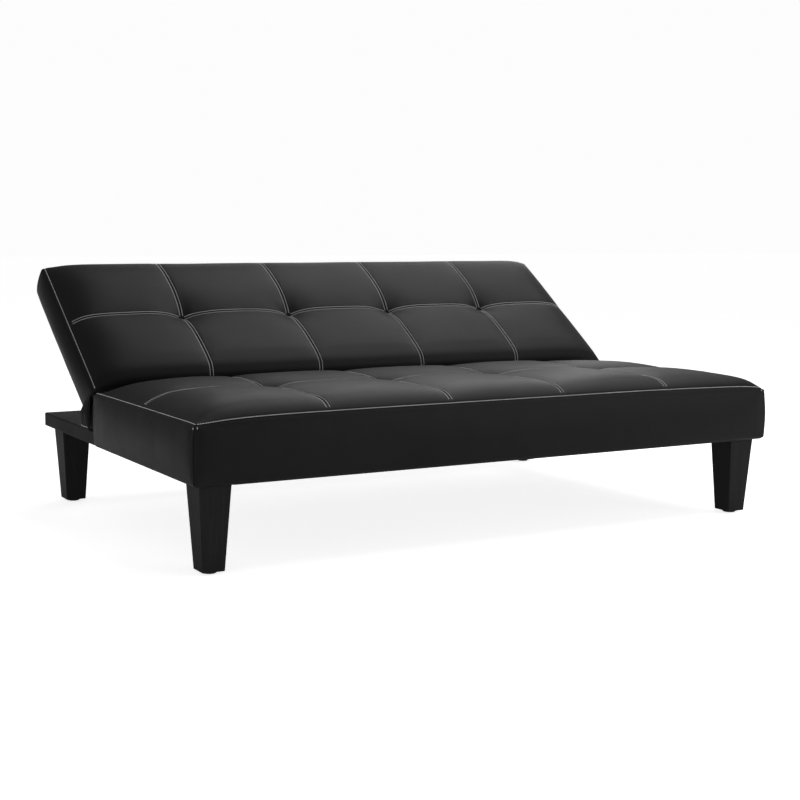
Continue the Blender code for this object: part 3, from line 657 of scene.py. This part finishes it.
def ply(name):
    m = Nodes(name)
    layer = m.wave(260.0, 0.6, "Z")
    grain = m.noise(10.0, 6.0, 0.65, m.stretch((0.8, 9.0, 9.0)), 0.7)
    colour = m.mix(m.scaled(grain, 0, 1, 0.3, 0.7), (0.50, 0.35, 0.19), (0.68, 0.52, 0.32))
    colour = m.mix(m.scaled(layer, 0.0, 0.35), colour, (0.36, 0.23, 0.12))
    return m.finish(colour, m.scaled(grain, 0.6, 0.8), m.bump(grain, 0.2, 0.0004))


def foam(name):
    m = Nodes(name)
    cells = m.voronoi(700.0)
    tone = m.noise(14.0, 3.0)
    colour = m.mix(m.scaled(tone, 0, 1, 0.3, 0.7), (0.70, 0.62, 0.42), (0.78, 0.72, 0.55))
    return m.finish(colour, m.scaled(cells, 0.8, 0.95), m.bump(cells, 0.5, 0.0006))


def steel(name, tone, rough, metal=1.0, yellow=1.0):
    m = Nodes(name)
    spangle = m.noise(120.0, 3.0, 0.6)
    scuff = m.noise(18.0, 5.0, 0.65, m.stretch((1.0, 1.0, 4.0)))
    colour = m.mix(m.scaled(spangle, 0, 1, 0.3, 0.7), (tone * 0.8, tone * 0.8, tone * 0.8 * yellow), (tone, tone, tone * yellow))
    colour = m.mix(m.scaled(scuff, 0.0, 0.5, 0.5, 0.75), colour, (tone * 0.55,) * 3)
    return m.finish(colour, m.scaled(scuff, rough, rough + 0.18, 0.3, 0.7), m.bump(scuff, 0.12, 0.0003),
                    Metallic=metal)


def plastic(name, tone=0.012):
    m = Nodes(name)
    pit = m.noise(700.0, 2.0, 0.5)
    scuff = m.noise(40.0, 5.0, 0.7)
    colour = m.mix(m.scaled(scuff, 0, 1, 0.4, 0.75), (tone,) * 3, (tone * 2.2,) * 3)
    return m.finish(colour, m.scaled(scuff, 0.38, 0.6), m.bump(pit, 0.2, 0.0002), Specular_IOR_Level=0.45)


M = {
    "leather": leather("leatherette_top"),
    "trim": leather("leatherette_frame", dark=0.0050, light=0.0090, rough=(0.50, 0.62), seam=False, spec=0.12),
    "thread": thread("pale_thread"),
    "under": cloth("underside_cloth"),
    "boot": cloth("boot_fabric", 0.016),
    "legs": wood("black_lacquered_wood", (0.0130, 0.0130, 0.0134), (0.0200, 0.0197, 0.0194), coat=0.03,
                 rough=(0.46, 0.60), spec=0.12),
    "pine": wood("pine", (0.55, 0.36, 0.18), (0.76, 0.57, 0.33), rough=(0.6, 0.8), axis=(0.5, 9.0, 9.0), bump=0.3),
    "ply": ply("plywood"),
    "foam": foam("cushion_foam"),
    "zinc": steel("zinc_steel", 0.55, 0.30, yellow=0.93),
    "black_steel": steel("black_steel", 0.035, 0.42, metal=0.7),
    "plastic": plastic("black_plastic"),
}


def paint(node, key):
    obj = bpy.data.objects.get(node)
    mesh = obj.data
    if not mesh.materials:
        mesh.materials.append(M[key])
    for k in range(len(mesh.materials)):
        mesh.materials[k] = M[key]


NODE_LOOK = []
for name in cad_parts:
    if name in ("seat_cover", "back_cover", "seat_foam", "back_foam", "hinge_boot_left", "hinge_boot_right"):
        key = "foam" if "foam" in name else "trim"
    elif name.startswith("rear_arm") or name == "rear_cross_beam":
        key = "trim"
    elif name.startswith("leg_bolt") or name.startswith("arm_bolt"):
        key = "zinc"
    elif name.startswith("leg_"):
        key = "legs"
    elif name.startswith("glide"):
        key = "plastic"
    elif "rear_cloth" in name or "dust_cover" in name:
        key = "under"
    elif name in ("seat_deck", "back_panel"):
        key = "ply"
    elif "rail" in name or "corner_block" in name:
        key = "pine"
    elif "screw" in name or "pin" in name or "spring" in name:
        key = "zinc"
    else:
        key = "black_steel"
    paint(name, key)


# ---------------------------------------------------------------- the cushions
seat, seat_top = cushion("seat_cushion", seat_shape, (-HW, 0.0, SEAT_Z0), (HW, SEAT_D, SEAT_Z1), SEAT_CROSS, 0.0060)
back, back_top = cushion("back_cushion", back_flat, (-HW, 0.0, -BACK_T), (HW, BACK_L, 0.0), BACK_CROSS, 0.0060)

# the hinge plates swing in a slot through the back's lower edge
for label, s in SIDES:
    a, b = sorted((s * SLOT_X0, s * SLOT_X1))
    block = np.array([(x, u, v) for x in (a, b) for u in (-0.05, SLOT_U) for v in (-0.13, -0.0048)])
    block = stand(block)
    bm = bmesh.new()
    vs = [bm.verts.new(p) for p in block]
    for f in ((0, 1, 3, 2), (4, 6, 7, 5), (0, 4, 5, 1), (2, 3, 7, 6), (0, 2, 6, 4), (1, 5, 7, 3)):
        bm.faces.new([vs[k] for k in f])
    tool = mesh_bm("slot_" + label, bm, smooth=False)
    mod = back.modifiers.new("slot", "BOOLEAN")
    mod.operation, mod.solver, mod.object = "DIFFERENCE", "EXACT", tool
    bpy.context.view_layer.objects.active = back
    bpy.context.view_layer.update()
    with bpy.context.temp_override(object=back, active_object=back, selected_objects=[back]):
        bpy.ops.object.modifier_apply(modifier=mod.name)
    bpy.data.objects.remove(tool)

for obj, nodes, body in ((seat, ("seat_cover", "seat_foam"), "seat_base"),
                         (back, ("back_cover", "back_foam"), "backrest")):
    obj.data.materials.clear()
    obj.data.materials.append(M["leather"])
    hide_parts(*nodes)
    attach(obj, body)

seat_thread = stitch_rows(seam_rows(seat_top, SEAT_CROSS, SEAT_D, 0.012)
                          + edge_rows(seat_top, SEAT_D, 0.0062), "seat_stitching")
back_thread = stitch_rows(seam_rows(back_top, BACK_CROSS, BACK_L, 0.012)
                          + edge_rows(back_top, BACK_L, 0.0062, True)[1:], "back_stitching")
for obj, body in ((seat_thread, "seat_base"), (back_thread, "backrest")):
    obj.data.materials.append(M["thread"])
    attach(obj, body)


# short stitches down the top of each upright corner seam of the seat, and staples round the cloths
def on_surface(obj, points):
    mesh = obj.data
    tree = BVHTree.FromPolygons([obj.matrix_world @ v.co for v in mesh.vertices],
                                [tuple(f.vertices) for f in mesh.polygons])
    hits = [tree.find_nearest(Vector(p)) for p in points]
    return np.array([h[0] for h in hits]), np.array([h[1] for h in hits])


corner_rows = []
for label, s in SIDES:
    z = np.linspace(0.351, 0.337, 8)
    for dx, dy in ((0.0035, -0.004), (-0.010, 0.0035)):
        x = np.full_like(z, s * (HW - dx if dx > 0 else HW + 0.010))
        pts = np.stack([x, np.full_like(z, dy - Y0), z], 1)
        corner_rows.append(on_surface(seat, pts))
obj = stitch_rows(corner_rows, "corner_stitching")
obj.data.materials.append(M["thread"])
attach(obj, "seat_base")


def staple_rows(depth, place, out):
    rows = []
    inset = 0.017
    lines = [((-HW + 0.05, inset), (HW - 0.05, inset)), ((-HW + 0.05, depth - inset), (HW - 0.05, depth - inset)),
             ((-HW + inset, 0.13), (-HW + inset, depth - 0.05)), ((HW - inset, 0.13), (HW - inset, depth - 0.05))]
    for a, b in lines:
        t = np.linspace(0, 1, 600)[:, None]
        xv = np.array(a)[None] * (1 - t) + np.array(b)[None] * t
        rows.append((place(xv), np.tile(np.array(out, float), (len(xv), 1))))
    return rows


def under_seat(xv):
    return np.stack([xv[:, 0], xv[:, 1] - Y0, np.full(len(xv), SEAT_Z0 - 0.0001)], 1)


def behind_back(xv):
    return stand(np.stack([xv[:, 0], xv[:, 1], np.full(len(xv), -BACK_T + 0.0002)], 1))


for name, rows, body in (
        ("seat_staples", staple_rows(SEAT_D, under_seat, (0, 0, -1)), "seat_base"),
        ("back_staples", staple_rows(BACK_L, behind_back, (0, sin(LOUNGE), -cos(LOUNGE))), "backrest")):
    obj = stitch_rows(rows, name, radius=0.0006, pitch=0.062, length=0.011)
    obj.data.materials.append(M["zinc"])
    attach(obj, body)


# ---------------------------------------------------------------- the folded boots at the hinges
def boot(label, s):
    """A pleated fabric gusset between the arm and the lower edge of the back."""
    steps, across = 26, 9
    low = [(0.7015, 0.2478), (0.758, 0.2478)]
    high = [(0.7025, 0.3290), (0.7435, 0.2725)]
    verts = np.zeros((steps + 1, across + 1, 2, 3))
    for i in range(steps + 1):
        t = i / steps
        for j in range(across + 1):
            q = j / across
            a = [low[0][k] * (1 - q) + low[1][k] * q for k in (0, 1)]
            b = [high[0][k] * (1 - q) + high[1][k] * q for k in (0, 1)]
            yy, zz = a[0] * (1 - t) + b[0] * t, a[1] * (1 - t) + b[1] * t
            fold = 0.0032 * abs(sin(pi * (t * 4.0))) * (0.35 + 0.65 * sin(pi * q) ** 0.5)
            edge = 0.002 * (1 - sin(pi * q) ** 0.4)
            outer = 0.8335 + fold - edge
            inner = 0.8140 - 0.3 * fold + edge
            verts[i, j, 0] = (s * outer, yy - Y0, zz)
            verts[i, j, 1] = (s * inner, yy - Y0, zz)
    bm = bmesh.new()
    grid = [[[bm.verts.new(verts[i, j, k]) for k in (0, 1)] for j in range(across + 1)] for i in range(steps + 1)]
    for i in range(steps):
        for j in range(across):
            for k in (0, 1):
                bm.faces.new((grid[i][j][k], grid[i + 1][j][k], grid[i + 1][j + 1][k], grid[i][j + 1][k]))
        for j in (0, across):
            bm.faces.new((grid[i][j][0], grid[i + 1][j][0], grid[i + 1][j][1], grid[i][j][1]))
    for j in range(across):
        for i in (0, steps):
            bm.faces.new((grid[i][j][0], grid[i][j + 1][0], grid[i][j + 1][1], grid[i][j][1]))
    obj = mesh_bm("hinge_cover_" + label, bm)
    obj.data.materials.append(M["boot"])
    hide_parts("hinge_boot_" + label)
    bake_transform(obj)
    return obj


def flap(label, s):
    """The folded flap outside the hinge: two facets that meet at a crease, with soft pleats."""
    steps, across = 30, 16
    front = ((0.0, 0.7065, 0.2490), (0.5, 0.7030, 0.2895), (1.0, 0.7005, 0.3350))
    rear = ((0.0, 0.7815, 0.2490), (0.5, 0.7680, 0.2915), (1.0, 0.7400, 0.3262))

    def along(line, t):
        ts = [q[0] for q in line]
        return [float(np.interp(t, ts, [q[k] for q in line])) for k in (1, 2)]

    def outer(t, q):
        crease = 1.0 - abs(t - 0.5) * 2.0
        edge = min(1.0, min(q, 1 - q) / 0.16, (1 - t) / 0.10) ** 0.5
        pleat = 0.0011 * sin(9.0 * q + 5.0 * t) * crease + 0.0007 * sin(23.0 * q - 9.0 * t + s)
        return 0.8462 + (0.0012 + 0.0082 * crease + pleat) * edge

    bm = bmesh.new()
    grid = []
    for i in range(steps + 1):
        t = i / steps
        a, b = along(front, t), along(rear, t)
        row = []
        for j in range(across + 1):
            q = j / across
            yy, zz = a[0] * (1 - q) + b[0] * q, a[1] * (1 - q) + b[1] * q
            zz += 0.0022 * sin(pi * q) * (1 if i == steps else 0)
            row.append((bm.verts.new((s * outer(t, q), yy - Y0, zz)), bm.verts.new((s * 0.8455, yy - Y0, zz))))
        grid.append(row)
    for i in range(steps):
        for j in range(across):
            for k in (0, 1):
                bm.faces.new((grid[i][j][k], grid[i + 1][j][k], grid[i + 1][j + 1][k], grid[i][j + 1][k]))
        for j in (0, across):
            bm.faces.new((grid[i][j][0], grid[i + 1][j][0], grid[i + 1][j][1], grid[i][j][1]))
    for j in range(across):
        for i in (0, steps):
            bm.faces.new((grid[i][j][0], grid[i][j + 1][0], grid[i][j + 1][1], grid[i][j][1]))
    obj = mesh_bm("hinge_flap_" + label, bm)
    obj.data.materials.append(M["trim"])
    bm = bmesh.new()
    for yy, zz in ((0.7538, 0.2698), (0.7230, 0.2708)):
        made = bmesh.ops.create_uvsphere(bm, u_segments=20, v_segments=12, radius=0.0034)["verts"]
        bmesh.ops.scale(bm, vec=(0.55, 1, 1), verts=made)
        bmesh.ops.translate(bm, vec=(s * 0.8508, yy - Y0, zz), verts=made)
    studs = mesh_bm("hinge_studs_" + label, bm)
    studs.data.materials.append(M["black_steel"])
    for piece in (obj, studs):
        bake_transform(piece)


for label, s in SIDES:
    boot(label, s)
    flap(label, s)
    # the row that holds the flap's lower edge to the arm
    yv = np.linspace(0.709, 0.772, 20)
    outer = on_surface(bpy.data.objects["hinge_flap_" + label],
                       np.stack([np.full_like(yv, s * 0.8600), yv - Y0, np.full_like(yv, 0.2522)], 1))
    obj = stitch_rows([outer], "arm_stitching_" + label)
    obj.data.materials.append(M["thread"])
    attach(obj, "seat_base")


# each pawl spring is copied as a zinc coil in place of the hidden CAD spring; its ends along its axis are found, the
# one nearer the pawl pin first, but not used
for label, s in SIDES:
    old = bpy.data.objects["pawl_spring_" + label]
    coil = bpy.data.objects.new("pawl_coil_" + label, old.data.copy())
    bpy.context.scene.collection.objects.link(coil)
    coil.data.materials.clear()
    coil.data.materials.append(M["zinc"])
    co = np.array([v.co for v in coil.data.vertices], float)
    middle = co.mean(0)
    axis = np.linalg.eigh(np.cov((co - middle).T))[1][:, 2]
    t = (co - middle) @ axis
    one, two = middle + axis * t.min(), middle + axis * t.max()
    a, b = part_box("pawl_pin_" + label)
    pin = (np.array(a) + np.array(b)) / 2
    if np.linalg.norm((one - pin)[1:]) > np.linalg.norm((two - pin)[1:]):
        one, two = two, one
    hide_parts("pawl_spring_" + label)
    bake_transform(coil)


# ---------------------------------------------------------------- floor, light and camera
def plane(name, size, z):
    bm = bmesh.new()
    vs = [bm.verts.new((a * size, b * size, z)) for a, b in ((-1, -1), (1, -1), (1, 1), (-1, 1))]
    bm.faces.new(vs)
    return mesh_bm(name, bm, smooth=False)


floor = plane("floor", 30.0, 0.0)
m = Nodes("floor_paper")
m.finish(m.mix(m.noise(2.0, 2.0), (0.90, 0.90, 0.90), (0.93, 0.93, 0.93)), None, None, Roughness=0.9,
         Specular_IOR_Level=0.1)
glow = m.bsdf.inputs["Emission Color"]
glow.default_value = (1, 1, 1, 1)
path = m.add("ShaderNodeLightPath")
m.link(m.scaled(path.outputs["Is Camera Ray"], 0.10, 0.80), m.bsdf.inputs["Emission Strength"])
floor.data.materials.append(m.mat)

world = bpy.data.worlds.new("studio")
bpy.context.scene.world = world
world.use_nodes = True
tree = world.node_tree
tree.nodes.clear()
out = tree.nodes.new("ShaderNodeOutputWorld")
seen = tree.nodes.new("ShaderNodeBackground")
seen.inputs[0].default_value, seen.inputs[1].default_value = (1, 1, 1, 1), 0.98
lit = tree.nodes.new("ShaderNodeBackground")
lit.inputs[0].default_value, lit.inputs[1].default_value = (1, 1, 1, 1), 0.21
path = tree.nodes.new("ShaderNodeLightPath")
mixer = tree.nodes.new("ShaderNodeMixShader")
tree.links.new(path.outputs["Is Camera Ray"], mixer.inputs[0])
tree.links.new(lit.outputs[0], mixer.inputs[1])
tree.links.new(seen.outputs[0], mixer.inputs[2])
tree.links.new(mixer.outputs[0], out.inputs[0])


def softbox(name, place, aim, size, power):
    data = bpy.data.lights.new(name, "AREA")
    data.shape = "RECTANGLE"
    data.size, data.size_y = size
    data.energy = power
    obj = bpy.data.objects.new(name, data)
    bpy.context.scene.collection.objects.link(obj)
    obj.location = place
    obj.rotation_euler = (Vector(aim) - Vector(place)).to_track_quat("-Z", "Y").to_euler()
    return obj


softbox("overhead", (1.4, 0.2, 2.9), (0.3, 0, 0.3), (3.8, 2.8), 60.0)
softbox("behind", (2.3, 3.8, 1.9), (0.1, 0.1, 0.35), (3.0, 1.8), 22.0)
softbox("left", (-3.6, -0.4, 1.6), (0, 0, 0.3), (2.2, 2.2), 4.5)
softbox("low_left", (-3.0, -1.9, 0.45), (0.6, -0.4, 0.1), (1.6, 0.8), 5.0)
softbox("front", (2.6, -3.7, 1.5), (0.2, -0.4, 0.3), (3.4, 2.4), 34.0)

cam_data = bpy.data.cameras.new("camera")
cam_data.lens = 65.032
cam_data.sensor_width = 36.0
cam_data.shift_x = 0.0752
cam_data.clip_start, cam_data.clip_end = 0.05, 100.0
cam = bpy.data.objects.new("camera", cam_data)
bpy.context.scene.collection.objects.link(cam)
right = Vector((0.880054, -0.474846, 0.005105))
upward = Vector((0.052635, 0.108225, 0.992732))
ahead = Vector((0.471947, 0.873389, -0.120237))
cam.matrix_world = Matrix((
    (right.x, upward.x, -ahead.x, -2.057225),
    (right.y, upward.y, -ahead.y, -3.509647),
    (right.z, upward.z, -ahead.z, 0.787673),
    (0, 0, 0, 1)))
bpy.context.scene.camera = cam
bpy.context.scene.view_settings.view_transform = "Standard"
bpy.context.scene.view_settings.look = "None"

bpy.context.view_layer.update()
